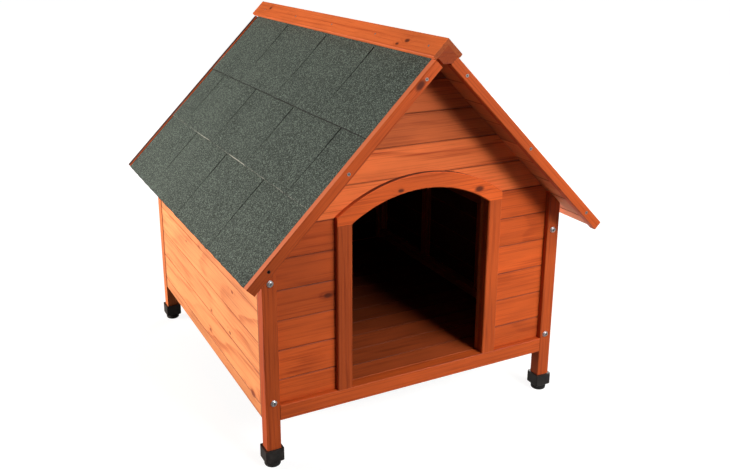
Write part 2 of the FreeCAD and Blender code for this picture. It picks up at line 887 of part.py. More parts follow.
def build():
    """Every node of the dog house, by name."""
    nodes = {}
    for name, side, end in corners():
        nodes["post_" + name] = [post(side, end)]
        nodes["foot_cap_" + name] = [foot_cap(side, end)]
        nodes["foot_pad_" + name] = [foot_pad(side, end)]
        nodes["foot_screw_" + name] = [foot_screw(side, end)]
    nodes["foot_nuts"] = [foot_nut(side, end) for name, side, end in corners()]
    front = front_wall_boards()
    nodes["front_boards_left"] = front["left"]
    nodes["front_boards_right"] = front["right"]
    nodes["front_arch_boards"] = front["arch"]
    nodes["front_gable_boards"] = front["gable"]
    nodes["rear_boards"] = rear_wall_boards()
    nodes["front_bottom_rail"] = [end_rail(0)]
    nodes["rear_bottom_rail"] = [end_rail(1)]
    nodes["rail_dowels"] = dowels(0)
    nodes["wall_battens"] = corner_cleats() + door_battens() + side_battens()
    nodes["gable_battens"] = gable_battens()
    nodes["door_jamb_left"] = [door_jamb(-1)]
    nodes["door_jamb_right"] = [door_jamb(1)]
    nodes["door_arch"] = [door_arch()]
    for side, side_name in ((-1, "left"), (1, "right")):
        nodes["side_boards_" + side_name] = side_boards(side)
        nodes["side_lower_rail_" + side_name] = [side_rail(side, lower_bolt_height)]
        nodes["side_upper_rail_" + side_name] = [side_rail(side, upper_bolt_height)]
        nodes["roof_deck_" + side_name] = roof_deck(side)
        for course, shape in shingle_courses(side).items():
            nodes["shingles_" + course + "_" + side_name] = [shape]
        nodes["bargeboard_front_" + side_name] = [bargeboard(side, 0)]
        nodes["bargeboard_rear_" + side_name] = [bargeboard(side, 1)]
        nodes["ridge_cap_" + side_name] = [ridge_cap(side)]
    nodes["roof_underlay"] = roof_underlay()
    nodes["deck_battens"] = deck_battens()
    nodes["ridge_beam"] = [ridge_beam()]
    nodes["floor_boards"] = floor_boards()
    nodes["floor_bearers"] = floor_battens() + floor_ledgers()
    nodes["post_bolts"] = at_bolts(post_bolt())
    nodes["post_washers"] = at_bolts(post_washer())
    nodes["bargeboard_screws"] = barge_screws(-1) + barge_screws(1)
    nodes["ridge_cap_nails"] = cap_nail_shapes(-1, 0) + cap_nail_shapes(1, 0)
    return nodes


os.makedirs("parts", exist_ok=True)
for node_name, shapes in build().items():
    node_shape = shapes[0] if len(shapes) == 1 else Part.makeCompound(shapes)
    node_shape.exportStep("parts/" + node_name + ".step")
    print(node_name, len(node_shape.Solids), "solids", round(node_shape.Volume), "mm3")
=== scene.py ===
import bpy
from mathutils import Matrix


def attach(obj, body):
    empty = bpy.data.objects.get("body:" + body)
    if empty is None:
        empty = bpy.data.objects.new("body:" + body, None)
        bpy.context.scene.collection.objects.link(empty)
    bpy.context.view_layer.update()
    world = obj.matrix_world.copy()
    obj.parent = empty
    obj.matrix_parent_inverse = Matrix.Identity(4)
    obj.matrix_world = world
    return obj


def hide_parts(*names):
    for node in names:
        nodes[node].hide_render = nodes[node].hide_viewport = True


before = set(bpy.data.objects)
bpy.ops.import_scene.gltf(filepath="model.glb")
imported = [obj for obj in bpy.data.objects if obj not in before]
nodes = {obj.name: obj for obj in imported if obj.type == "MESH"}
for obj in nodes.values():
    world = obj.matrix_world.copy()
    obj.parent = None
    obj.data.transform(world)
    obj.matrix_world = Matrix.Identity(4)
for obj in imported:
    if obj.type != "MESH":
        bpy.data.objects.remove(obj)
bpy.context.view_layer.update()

from functools import partial

import bpy
import numpy as np
from mathutils import Matrix, Vector

print("loaded", len(nodes), "pieces of the dog house")


def linear(hexColour):
    # sRGB hex value to the linear colour a shader takes
    channels = np.array([int(hexColour[i:i + 2], 16) for i in (1, 3, 5)]) / 255
    curved = ((channels + 0.055) / 1.055) ** 2.4
    return (*np.where(channels <= 0.04045, channels / 12.92, curved).tolist(), 1.0)


def addNode(tree, kind, sockets=None, out=0, **settings):
    # one node: its settings, and for each input a value or the output that feeds it
    node = tree.nodes.new(kind)
    for key, value in settings.items():
        setattr(node, key, value)
    for key, value in (sockets or {}).items():
        if isinstance(value, bpy.types.NodeSocket):
            tree.links.new(value, node.inputs[key])
        else:
            node.inputs[key].default_value = value
    return node.outputs[out] if node.outputs else node


def newMaterial(name):
    material = bpy.data.materials.new(name)
    material.use_nodes = True
    tree = material.node_tree
    return material, tree, tree.nodes["Principled BSDF"], partial(addNode, tree)


def dress(material, *names):
    # the finish goes into every slot of these pieces
    for name in names:
        slots = nodes[name].data.materials
        for i in range(len(slots)):
            slots[i] = material


# Stained pine: softwood boards, planed and dipped in a translucent red-brown stain. The eye
# gets darker latewood lines with arches where a board is cut flat, a few brown knots that
# the lines flow round, boards of slightly different tone, a thin satin film and dark joints.
pine = {
    "grain": (1, 0, 0),        # direction of the fibres
    "across": (0, 0, 1),       # direction in which the boards follow each other
    "origin": (-4.5, -4.5, -4.5),  # where the first board starts: along, across, through
    "board": (9, 9, 9),        # room of one board: along, across, through
    "seed": 0.0,
    "early": "#C9561F",
    "late": "#8A2D0C",
    "deep": "#4E1A0A",
    "knot": "#4F1D0C",
    "toneSpread": 0.22,        # how much boards differ
    "ring": 0.0075,            # growth rings of 3 to 4 mm, drawn about twice as wide to show
    "ringDepth": 0.38,         # how dark the late wood is
    "lateRise": (0.5, 0.88),   # shares of a ring between which the late wood sets in
    "lateFall": (0.9, 1.0),    # and between which it ends
    "vigour": (0.3, 1.0),      # late wood of the faintest and of the strongest year
    "pithAside": (-0.05, 0.05),     # where the middle of the tree lies: beside the board,
    "pithBehind": (0.022, 0.12),    # behind it,
    "pithSlope": (-0.035, 0.035),   # and how askew it runs
    "drift": (2.2, 9, 9),      # waves a metre in the rings: along, across, through
    "driftDepth": (0, 0.014, 0.020),
    "knotCell": 0.19,          # one place for a knot in each 190 mm
    "knotShare": 0.42,         # share of these places that has one
    "knotRadius": (0.0045, 0.0115),
    "knotShape": (0.55, 1, 0),  # a knot is longer along the grain
    "knotCore": (0.45, 1.25),  # radii between which its dark core fades
    "knotHalo": (0.7, 3.4),    # radii between which the wood round it does
    "haloShade": 0.16,
    "knotBend": 0.007,         # how far the rings flow round a knot
    "knots": (),               # knots of a known place besides: along, across, radius
    "tone": 1.0,
    "boardTones": {},          # lighter or darker boards, by their number from the origin
    "fades": (),               # stretches over which the tone changes: from, to, tone
    "turned": (),              # faces of another colour: direction they look in, colour
    "fibre": (6, 380, 380),    # fibres 2.6 mm apart and 170 mm long, coarser than real to show
    "fibreTone": (-0.32, 0.42),
    "streak": (2.6, 140, 140),  # streaks 7 mm wide
    "streakTone": (-0.2, 0.32),
    "cloud": (5, 11, 11),      # uneven take-up of the stain, 90 mm across
    "cloudTone": (0.86, 1.12),
    "apart": (7.3, 3.1, 5.7),  # how far chance moves a board's pattern
    "jointShade": 0.5,
    "jointBand": (0.0034, 0.0006),  # from the joint: where it starts to darken, and is full
    "endShade": 0.45,          # end grain soaks up more stain
    "relief": 0.0006,          # depth of the raised grain
    "roughness": (0.44, 0.60),  # of the darkest and of the palest wood
    "gloss": 0.28,             # the stain is thin, so less shine than a lacquer
    "coat": 0.04,
}


def pineFinish(name, **changes):
    look = {**pine, **changes}
    material, tree, shader, add = newMaterial(name)
    grain = Vector(look["grain"]).normalized()
    across = Vector(look["across"]).normalized()
    turn = Matrix((grain, across, grain.cross(across))).to_euler()
    space = add("ShaderNodeTexCoord", out="Object")
    place = add("ShaderNodeMapping", {"Vector": space, "Rotation": turn})
    # which board a point is in, and where in that board
    steps = add("ShaderNodeVectorMath", {0: place, 1: look["origin"]}, operation="SUBTRACT")
    steps = add("ShaderNodeVectorMath", {0: steps, 1: look["board"]}, operation="DIVIDE")
    number = add("ShaderNodeVectorMath", {0: steps}, operation="FLOOR")
    row = add("ShaderNodeSeparateXYZ", {"Vector": number}).node.outputs[1]
    number = add("ShaderNodeVectorMath", {0: number, 1: (look["seed"],) * 3}, operation="ADD")
    chance = add("ShaderNodeTexWhiteNoise", {"Vector": number}, out="Color")
    chances = add("ShaderNodeSeparateXYZ", {"Vector": chance}).node.outputs
    inside = add("ShaderNodeVectorMath", {0: steps}, operation="FRACTION")
    inside = add("ShaderNodeVectorMath", {0: inside, 1: (0.5,) * 3}, operation="SUBTRACT")
    inside = add("ShaderNodeVectorMath", {0: inside, 1: look["board"]}, operation="MULTIPLY")
    shift = add("ShaderNodeVectorMath", {0: chance, 1: look["apart"]}, operation="MULTIPLY")
    own = add("ShaderNodeVectorMath", {0: inside, 1: shift}, operation="ADD")
    along = add("ShaderNodeSeparateXYZ", {"Vector": inside}).node.outputs

    # knots: a point in each cell, its size and presence by chance
    flat = add("ShaderNodeVectorMath", {0: own, 1: look["knotShape"]}, operation="MULTIPLY")
    cell = add("ShaderNodeTexVoronoi", {"Vector": flat, "Scale": 1 / look["knotCell"]},
               voronoi_dimensions="2D").node.outputs
    reach = add("ShaderNodeMath", {0: cell["Distance"], 1: look["knotCell"]}, operation="MULTIPLY")
    dice = add("ShaderNodeSeparateXYZ", {"Vector": cell["Color"]}).node.outputs
    present = add("ShaderNodeMath", {0: dice[0], 1: look["knotShare"]}, operation="LESS_THAN")
    radius = add("ShaderNodeMapRange", {"Value": dice[1], "To Min": look["knotRadius"][0],
                                        "To Max": look["knotRadius"][1]})
    ratio = add("ShaderNodeMath", {0: reach, 1: radius}, operation="DIVIDE")
    absent = add("ShaderNodeMath", {0: 1.0, 1: present}, operation="SUBTRACT")
    farOff = 9.0                # in radii, past any halo
    ratio = add("ShaderNodeMath", {0: absent, 1: farOff, 2: ratio}, operation="MULTIPLY_ADD")
    for knotAlong, knotAcross, knotRadius in look["knots"]:
        gap = add("ShaderNodeVectorMath", {0: place, 1: (knotAlong, knotAcross, 0)},
                  operation="SUBTRACT")
        gap = add("ShaderNodeVectorMath", {0: gap, 1: look["knotShape"]}, operation="MULTIPLY")
        gap = add("ShaderNodeVectorMath", {0: gap}, operation="LENGTH", out="Value")
        gap = add("ShaderNodeMath", {0: gap, 1: knotRadius}, operation="DIVIDE")
        ratio = add("ShaderNodeMath", {0: gap, 1: ratio}, operation="MINIMUM")
    core = add("ShaderNodeMapRange", {"Value": ratio, "From Min": look["knotCore"][0],
                                      "From Max": look["knotCore"][1],
                                      "To Min": 0.9, "To Max": 0.0},
               interpolation_type="SMOOTHSTEP")
    halo = add("ShaderNodeMapRange", {"Value": ratio, "From Min": look["knotHalo"][0],
                                      "From Max": look["knotHalo"][1],
                                      "To Min": 1.0, "To Max": 0.0},
               interpolation_type="SMOOTHSTEP")

    # growth rings: distance to a pith that runs slightly askew behind the board
    drift = add("ShaderNodeVectorMath", {0: own, 1: look["drift"]}, operation="MULTIPLY")
    drift = add("ShaderNodeTexNoise", {"Vector": drift, "Scale": 1.0, "Detail": 2.0}, out="Color")
    drift = add("ShaderNodeVectorMath", {0: drift, 1: (0.5,) * 3}, operation="SUBTRACT")
    drift = add("ShaderNodeVectorMath", {0: drift, 1: look["driftDepth"]}, operation="MULTIPLY")
    aside, behind, slope = (
        add("ShaderNodeMapRange", {"Value": chances[k], "To Min": look[key][0],
                                   "To Max": look[key][1]})
        for k, key in enumerate(("pithAside", "pithBehind", "pithSlope")))
    lean = add("ShaderNodeMath", {0: along[0], 1: slope, 2: behind}, operation="MULTIPLY_ADD")
    pith = add("ShaderNodeCombineXYZ", {"Y": aside, "Z": lean})
    square = add("ShaderNodeVectorMath", {0: inside, 1: (0, 1, 1)}, operation="MULTIPLY")
    square = add("ShaderNodeVectorMath", {0: square, 1: pith}, operation="ADD")
    square = add("ShaderNodeVectorMath", {0: square, 1: drift}, operation="ADD")
    age = add("ShaderNodeVectorMath", {0: square}, operation="LENGTH", out="Value")
    age = add("ShaderNodeMath", {0: halo, 1: look["knotBend"], 2: age}, operation="MULTIPLY_ADD")
    age = add("ShaderNodeMath", {0: age, 1: look["ring"]}, operation="DIVIDE")
    year = add("ShaderNodeMath", {0: age}, operation="FRACT")
    rise, fall = (
        add("ShaderNodeMapRange", {"Value": year, "From Min": look[key][0],
                                   "From Max": look[key][1]}, interpolation_type="SMOOTHSTEP")
        for key in ("lateRise", "lateFall"))
    lateWood = add("ShaderNodeMath", {0: rise, 1: fall}, operation="SUBTRACT")
    number = add("ShaderNodeMath", {0: age}, operation="FLOOR")
    vigour = add("ShaderNodeTexWhiteNoise", {"W": number}, noise_dimensions="1D", out="Value")
    vigour = add("ShaderNodeMapRange", {"Value": vigour, "To Min": look["vigour"][0],
                                        "To Max": look["vigour"][1]})
    lateWood = add("ShaderNodeMath", {0: lateWood, 1: vigour}, operation="MULTIPLY")

    # fibres, streaks and the cloudy take-up of the stain
    fibre = add("ShaderNodeVectorMath", {0: own, 1: look["fibre"]}, operation="MULTIPLY")
    fibre = add("ShaderNodeTexNoise", {"Vector": fibre, "Scale": 1.0, "Detail": 4.0,
                                       "Roughness": 0.65}, out="Fac")
    streak = add("ShaderNodeVectorMath", {0: own, 1: look["streak"]}, operation="MULTIPLY")
    streak = add("ShaderNodeTexNoise", {"Vector": streak, "Scale": 1.0, "Detail": 2.0}, out="Fac")
    cloud = add("ShaderNodeVectorMath", {0: own, 1: look["cloud"]}, operation="MULTIPLY")
    cloud = add("ShaderNodeTexNoise", {"Vector": cloud, "Scale": 1.0, "Detail": 3.0}, out="Fac")

    dark = add("ShaderNodeMath", {0: lateWood, 1: look["ringDepth"]}, operation="MULTIPLY")
    fine = add("ShaderNodeMapRange", {"Value": fibre, "From Min": 0.32, "From Max": 0.72,
                                      "To Min": look["fibreTone"][0],
                                      "To Max": look["fibreTone"][1]})
    dark = add("ShaderNodeMath", {0: dark, 1: fine}, operation="ADD")
    wide = add("ShaderNodeMapRange", {"Value": streak, "From Min": 0.35, "From Max": 0.7,
                                      "To Min": look["streakTone"][0],
                                      "To Max": look["streakTone"][1]})
    dark = add("ShaderNodeMath", {0: dark, 1: wide}, operation="ADD")
    dark = add("ShaderNodeMath", {0: halo, 1: look["haloShade"], 2: dark},
               operation="MULTIPLY_ADD", use_clamp=True)
    colour = add("ShaderNodeMix", {0: dark, 6: linear(look["early"]), 7: linear(look["late"])},
                 data_type="RGBA", out=2)

    # board to board tone, cloudy stain
    tone = add("ShaderNodeMath", {0: chances[2], 1: chances[0]}, operation="ADD")
    tone = add("ShaderNodeMapRange", {"Value": tone, "From Max": 2.0,
                                      "To Min": look["tone"] * (1 - look["toneSpread"]),
                                      "To Max": look["tone"] * (1 + look["toneSpread"])})
    mist = add("ShaderNodeMapRange", {"Value": cloud, "From Min": 0.3, "From Max": 0.7,
                                      "To Min": look["cloudTone"][0],
                                      "To Max": look["cloudTone"][1]})
    tone = add("ShaderNodeMath", {0: tone, 1: mist}, operation="MULTIPLY")
    for boardNumber, boardTone in look["boardTones"].items():
        isBoard = add("ShaderNodeMath", {0: row, 1: boardNumber, 2: 0.5}, operation="COMPARE")
        change = add("ShaderNodeMapRange", {"Value": isBoard, "To Min": 1.0, "To Max": boardTone})
        tone = add("ShaderNodeMath", {0: tone, 1: change}, operation="MULTIPLY")
    runs = add("ShaderNodeSeparateXYZ", {"Vector": place}).node.outputs[0]
    for fadeFrom, fadeTo, fadeTone in look["fades"]:
        change = add("ShaderNodeMapRange", {"Value": runs, "From Min": fadeFrom,
                                            "From Max": fadeTo, "To Min": 1.0, "To Max": fadeTone},
                     interpolation_type="SMOOTHSTEP")
        tone = add("ShaderNodeMath", {0: tone, 1: change}, operation="MULTIPLY")
    colour = add("ShaderNodeVectorMath", {0: colour, "Scale": tone}, operation="SCALE")

    # knots, and stain that gathers in the joints and soaks into end grain
    colour = add("ShaderNodeMix", {0: core, 6: colour, 7: linear(look["knot"])},
                 data_type="RGBA", out=2)
    edge = add("ShaderNodeMath", {0: along[1]}, operation="ABSOLUTE")
    edge = add("ShaderNodeMapRange", {"Value": edge,
                                      "From Min": look["board"][1] / 2 - look["jointBand"][0],
                                      "From Max": look["board"][1] / 2 - look["jointBand"][1],
                                      "To Max": look["jointShade"]},
               interpolation_type="SMOOTHSTEP")
    normal = add("ShaderNodeTexCoord", out="Normal")
    for direction, turnedColour in look["turned"]:
        facing = add("ShaderNodeVectorMath", {0: normal, 1: direction}, operation="DOT_PRODUCT",
                     out="Value")
        facing = add("ShaderNodeMapRange", {"Value": facing, "From Min": 0.8, "From Max": 0.95,
                                            "To Max": 0.95}, interpolation_type="SMOOTHSTEP")
        colour = add("ShaderNodeMix", {0: facing, 6: colour, 7: linear(turnedColour)},
                     data_type="RGBA", out=2)
    facing = add("ShaderNodeVectorMath", {0: normal, 1: tuple(grain)}, operation="DOT_PRODUCT",
                 out="Value")
    facing = add("ShaderNodeMath", {0: facing}, operation="ABSOLUTE")
    facing = add("ShaderNodeMapRange", {"Value": facing, "From Min": 0.6, "From Max": 0.95,
                                        "To Max": look["endShade"]},
                 interpolation_type="SMOOTHSTEP")
    soaked = add("ShaderNodeMath", {0: edge, 1: facing}, operation="MAXIMUM")
    colour = add("ShaderNodeMix", {0: soaked, 6: colour, 7: linear(look["deep"])},
                 data_type="RGBA", out=2)
    tree.links.new(colour, shader.inputs["Base Color"])

    rough = add("ShaderNodeMapRange", {"Value": dark, "To Min": look["roughness"][1],
                                       "To Max": look["roughness"][0]})
    tree.links.new(rough, shader.inputs["Roughness"])
    shader.inputs["IOR"].default_value = 1.5
    shader.inputs["Specular IOR Level"].default_value = look["gloss"]
    shader.inputs["Coat Weight"].default_value = look["coat"]
    shader.inputs["Coat Roughness"].default_value = 0.34
    height = add("ShaderNodeMath", {0: lateWood, 1: 0.5, 2: fibre}, operation="MULTIPLY_ADD")
    height = add("ShaderNodeMath", {0: core, 1: -0.6, 2: height}, operation="MULTIPLY_ADD")
    bump = add("ShaderNodeBump", {"Height": height, "Strength": 0.5,
                                  "Distance": look["relief"]})
    tree.links.new(bump, shader.inputs["Normal"])
    return material


diagonal = 0.70710678           # both slopes of the roof fall at 45 degrees
ridgeLine = 0.984               # height where the two roof planes meet
deckStart = 0.0363              # from there down to the first deck board
downLeft = (-diagonal, 0, -diagonal)      # down the left slope of the roof
downRight = (diagonal, 0, -diagonal)
wallRows = {"origin": (-3, 0.2195, -3), "board": (6, 0.075, 6)}
sideRows = {"origin": (-3, 0.152, -3), "board": (6, 0.080, 6)}
lengthwise = {"grain": (0, 1, 0), "across": (0, 0, 1)}
upright = {"grain": (0, 0, 1), "across": (1, 0, 0)}

# the boards left of the door are darker than those right of it: painted shade, as the front light
# falls off towards the left
dress(pineFinish("stainedFrontBoardsLeft", seed=3, tone=0.88, knotShare=0.1,
                 boardTones={-1: 1.1, 0: 1.2, 1: 1.25, 2: 1.0, 3: 1.0, 4: 0.78, 5: 0.8},
                 knots=[(-0.247, 0.409, 0.007)], **wallRows), "front_boards_left")
dress(pineFinish("stainedFrontBoardsRight", seed=11, tone=1.02, knotShare=0.1,
                 boardTones={4: 0.95, 5: 1.1}, **wallRows), "front_boards_right")
# the paler early colour is a painted sheen; boards 7 to 9, the top one most, are darkened as
# painted shadow under the roof's apex
dress(pineFinish("stainedGableBoards", seed=5, tone=1.1, knotShare=0.1, early="#CC6330",
                 boardTones={5: 1.2, 6: 1.08, 7: 0.68, 8: 0.8, 9: 0.45}, **wallRows),
      "front_arch_boards", "front_gable_boards")
paintedInsideShade = "#33170B"          # the inner faces are painted dark: painted shade of the closed room inside
dress(pineFinish("stainedRearBoards", seed=8, turned=[((0, -1, 0), paintedInsideShade)], **wallRows),
      "rear_boards")
sideColours = {"early": "#E8955C", "late": "#A8481C", "deep": "#7A2C10", "knot": "#7E3414",
               "ringDepth": 0.5, "fades": [(-0.431, -0.437, 0.35), (0.413, 0.419, 0.4)],
               "toneSpread": 0.08, "boardTones": {-1: 0.8, 2: 1.04}}
dress(pineFinish("stainedSideBoardsLeft", seed=2, turned=[((1, 0, 0), paintedInsideShade)],
                 knots=[(-0.383, 0.153, 0.0090), (-0.051, 0.176, 0.0050),
                        (-0.067, 0.240, 0.0040), (-0.223, 0.243, 0.0050),
                        (0.021, 0.394, 0.0040), (0.151, 0.367, 0.0035),
                        (-0.255, 0.368, 0.0040)],
                 **lengthwise, **sideRows, **sideColours),
      "side_boards_left")
dress(pineFinish("stainedSideBoardsRight", seed=9, turned=[((-1, 0, 0), paintedInsideShade)],
                 **lengthwise, **sideRows, **sideColours),
      "side_boards_right")
plain = {"jointShade": 0.0, "toneSpread": 0.1, "tone": 0.92, "knotShare": 0.08}
dress(pineFinish("stainedRails", seed=4, origin=(-3, 0, 0), board=(6, 1, 0.3), **plain),
      "front_bottom_rail", "rear_bottom_rail")
# its upward faces are darkened: painted shadow along the head's top rim
dress(pineFinish("stainedDoorHead", seed=6, knots=[(-0.063, 0.642, 0.005), (0.158, 0.616, 0.008)],
                 turned=[((0, 0, 1), "#4E1C0C")],
                 **{**plain, "tone": 1.2, "ringDepth": 0.25}), "door_arch")
postLook = {"origin": (0, 0, 0), "board": (3, 0.5, 0.5), **upright, **plain}
dress(pineFinish("stainedPostsFront", seed=7, **{**postLook, "tone": 0.76}),
      "post_front_left", "post_front_right")
dress(pineFinish("stainedPostsRear", seed=7, early="#DA7A42", late="#B4521F", **postLook),
      "post_rear_left", "post_rear_right")
# the left jamb is darker than the right one: painted shade, as the front light falls off towards
# the left
dress(pineFinish("stainedJambLeft", seed=23, **upright, **{**plain, "tone": 0.64}),
      "door_jamb_left")
dress(pineFinish("stainedJambRight", seed=24, **upright, **{**plain, "tone": 0.9}),
      "door_jamb_right")
bargeLook = {"origin": (-3, -3, 0), "board": (6, 6, 0.5), **plain}
outLeft = (-diagonal, 0, diagonal)        # out of the left slope of the roof
outRight = (diagonal, 0, diagonal)
bargeLeft = {"grain": downLeft, "across": outLeft, **bargeLook}
# darker towards the eave end: painted shade; its upward edge is paler: painted sheen
dress(pineFinish("stainedBargeboardFront", seed=1, knots=[(-0.590, 0.686, 0.009)],
                 fades=[(-0.30, -0.06, 0.7)],
                 turned=[(outLeft, "#CF7046")], **bargeLeft),
      "bargeboard_front_left")
dress(pineFinish("stainedBargeboardRear", seed=1,
                 turned=[(outLeft, "#2E130C"), ((0, -1, 0), "#200E08")], **bargeLeft),
      "bargeboard_rear_left")
dress(pineFinish("stainedBargeboardsRight", seed=13, grain=downRight, across=outRight,
                 **bargeLook),
      "bargeboard_front_right", "bargeboard_rear_right")
capLook = {"early": "#D2672F", "late": "#A8451B", "jointShade": 0.0, "knotShare": 0.1,
           "toneSpread": 0.1}
dress(pineFinish("stainedRidgeCapLeft", seed=12, grain=(0, 1, 0), across=downLeft,
                 knots=[(0.454, -0.688, 0.005), (-0.416, -0.679, 0.006), (-0.386, -0.665, 0.004)],
                 **capLook), "ridge_cap_left")
dress(pineFinish("stainedRidgeCapRight", seed=14, grain=(0, 1, 0), across=downRight, **capLook),
      "ridge_cap_right")
dress(pineFinish("stainedRidgeBeam", seed=15, **lengthwise, **plain), "ridge_beam")

deckLook = {"early": "#CB7342", "late": "#A14E26", "deep": "#5A230F", "grain": (0, 1, 0),
            "origin": (-3, deckStart - ridgeLine * diagonal, -3), "board": (6, 0.075, 6)}
dress(pineFinish("sparseStainDeckLeft", seed=16, across=downLeft, **deckLook), "roof_deck_left")
dress(pineFinish("sparseStainDeckRight", seed=17, across=downRight, **deckLook),
      "roof_deck_right")
floorLook = {"early": "#8E3E1C", "late": "#642710", "deep": "#200A04", "coat": 0.0, "gloss": 0.12,
             "toneSpread": 0.1,
             # painted light and shade: lighter at the doorway where the light comes in, darker
             # further in, where the room lies in shade
             "boardTones": {-1: 1.3, 0: 1.12, 1: 0.95, 2: 0.7, 3: 0.5, 4: 0.38, 5: 0.36, 6: 0.36,
                            **dict.fromkeys(range(7, 12), 0.35)}}
dress(pineFinish("stainedFloorBoards", seed=18, across=(0, 1, 0), origin=(-3, -0.3777, -3),
                 board=(6, 0.073, 6), **floorLook), "floor_boards")
bare = {"early": "#A8572B", "late": "#7F3C1B", "deep": "#4A210F", "knot": "#45200F",
        "jointShade": 0.0, "coat": 0.0, "roughness": (0.62, 0.74)}
dress(pineFinish("sawnPineBearers", seed=19, **lengthwise, **bare), "floor_bearers",
      "side_lower_rail_left", "side_lower_rail_right", "side_upper_rail_left",
      "side_upper_rail_right")
dress(pineFinish("sawnPineBattens", seed=20, **upright, **bare), "wall_battens")
dress(pineFinish("sawnPineRafters", seed=21, grain=downLeft, across=(0, 1, 0), **bare),
      "gable_battens", "deck_battens")
dress(pineFinish("beechDowels", seed=22, **bare), "rail_dowels")
print("wood finishes done")


# Zinc-plated steel: bright, slightly blue, with fine rolled marks and a few duller spots.
# The recesses are darkened with painted shade, found by an occlusion test and drawn wider than it
# is so that it shows.
zinc = {"colour": "#F4F5F6", "dull": "#C6CACD", "grit": 0.0012, "roughness": (0.34, 0.5),
        # the colour of the painted shade in the recesses, and how far the occlusion test reaches
        "shadeColour": "#15100D", "reach": 0.0028, "relief": 0.0001,
        "shadedLeftOf": -9.0,           # left of this the heads are darkened: painted shade
        "cover": 0.92}             # how dark the painted shade makes them


def zincFinish(name, look):
    material, tree, shader, add = newMaterial(name)
    space = add("ShaderNodeTexCoord", out="Object")
    spots = add("ShaderNodeTexNoise", {"Vector": space, "Scale": 1 / (look["grit"] * 3),
                                       "Detail": 4.0}, out="Fac")
    colour = add("ShaderNodeMix", {0: spots, 6: linear(look["colour"]), 7: linear(look["dull"])},
                 data_type="RGBA", out=2)
    # painted shade: darker where the surface lies in a recess
    paintedShade = add("ShaderNodeAmbientOcclusion", {"Distance": look["reach"]}, out="AO", samples=8,
                 only_local=True)
    paintedShade = add("ShaderNodeMapRange", {"Value": paintedShade, "From Min": 0.45, "From Max": 0.85,
                                        "To Min": 1.0, "To Max": 0.0})
    # heads left of a line get the same painted shade
    left = add("ShaderNodeSeparateXYZ", {"Vector": space}).node.outputs[0]
    left = add("ShaderNodeMath", {0: left, 1: look["shadedLeftOf"]}, operation="LESS_THAN")
    paintedShade = add("ShaderNodeMath", {0: left, 1: look["cover"], 2: paintedShade}, operation="MULTIPLY_ADD",
                 use_clamp=True)
    colour = add("ShaderNodeMix", {0: paintedShade, 6: colour, 7: linear(look["shadeColour"])},
                 data_type="RGBA", out=2)
    tree.links.new(colour, shader.inputs["Base Color"])
    rough = add("ShaderNodeMapRange", {"Value": spots, "To Min": look["roughness"][0],
                                       "To Max": look["roughness"][1]})
    tree.links.new(rough, shader.inputs["Roughness"])
    shader.inputs["Metallic"].default_value = 1.0
    grain = add("ShaderNodeTexNoise", {"Vector": space, "Scale": 1 / look["grit"]}, out="Fac")
    bump = add("ShaderNodeBump", {"Height": grain, "Strength": 0.25,
                                  "Distance": look["relief"]})
    tree.links.new(bump, shader.inputs["Normal"])
    return material


# the lowest screws of the left bargeboard are darkened with painted shade
dress(zincFinish("zincPlatedScrews", {**zinc, "shadedLeftOf": -0.36}), "bargeboard_screws")
dress(zincFinish("zincPlatedSteel", zinc), "post_bolts", "post_washers", "ridge_cap_nails",
      "foot_nuts", "foot_screw_front_left", "foot_screw_front_right",
      "foot_screw_rear_left", "foot_screw_rear_right")

# Moulded black polypropylene: even, faintly grained by the spark-eroded mould, soft highlight.
# Black rubber: duller, with dust and scuffs where it stands.
mouldings = {
    "mouldedBlackPlastic": {"colour": "#1B1918", "worn": "#34302D", "grit": 0.0011,
                            "roughness": (0.38, 0.55), "relief": 0.00025},
    "mouldedBlackRubber": {"colour": "#161413", "worn": "#2F2B28", "grit": 0.0016,
                           "roughness": (0.7, 0.88), "relief": 0.0003},
}
scuffSize = 1 / 60              # about 17 mm


def mouldedFinish(name, look):
    material, tree, shader, add = newMaterial(name)
    space = add("ShaderNodeTexCoord", out="Object")
    scuffs = add("ShaderNodeTexNoise", {"Vector": space, "Scale": 1 / scuffSize, "Detail": 5.0,
                                        "Roughness": 0.7}, out="Fac")
    scuffs = add("ShaderNodeMapRange", {"Value": scuffs, "From Min": 0.45, "From Max": 0.75})
    colour = add("ShaderNodeMix", {0: scuffs, 6: linear(look["colour"]), 7: linear(look["worn"])},
                 data_type="RGBA", out=2)
    tree.links.new(colour, shader.inputs["Base Color"])
    rough = add("ShaderNodeMapRange", {"Value": scuffs, "To Min": look["roughness"][0],
                                       "To Max": look["roughness"][1]})
    tree.links.new(rough, shader.inputs["Roughness"])
    grain = add("ShaderNodeTexVoronoi", {"Vector": space, "Scale": 1 / look["grit"]},
                out="Distance")
    bump = add("ShaderNodeBump", {"Height": grain, "Strength": 0.5, "Distance": look["relief"]})
    tree.links.new(bump, shader.inputs["Normal"])
    return material


corners = ("front_left", "front_right", "rear_left", "rear_right")
dress(mouldedFinish("mouldedBlackPlastic", mouldings["mouldedBlackPlastic"]),
      *("foot_cap_" + corner for corner in corners))
dress(mouldedFinish("mouldedBlackRubber", mouldings["mouldedBlackRubber"]),
      *("foot_pad_" + corner for corner in corners))

# Mineral felt: bitumen sheet rolled in crushed slate. Grains of about 1.3 mm, drawn 1.8 mm
# wide to show, from nearly black to pale grey-green, on a matt green-grey ground.
mineral = {"ground": "#27322D", "pale": "#6F7F75", "dark": "#121A16", "warm": "#37423C",
           "grit": 0.0018, "relief": 0.0009,
           "patch": 0.16, "patchEdges": (0.35, 0.7)}   # warmer patches, and how soft their edge is


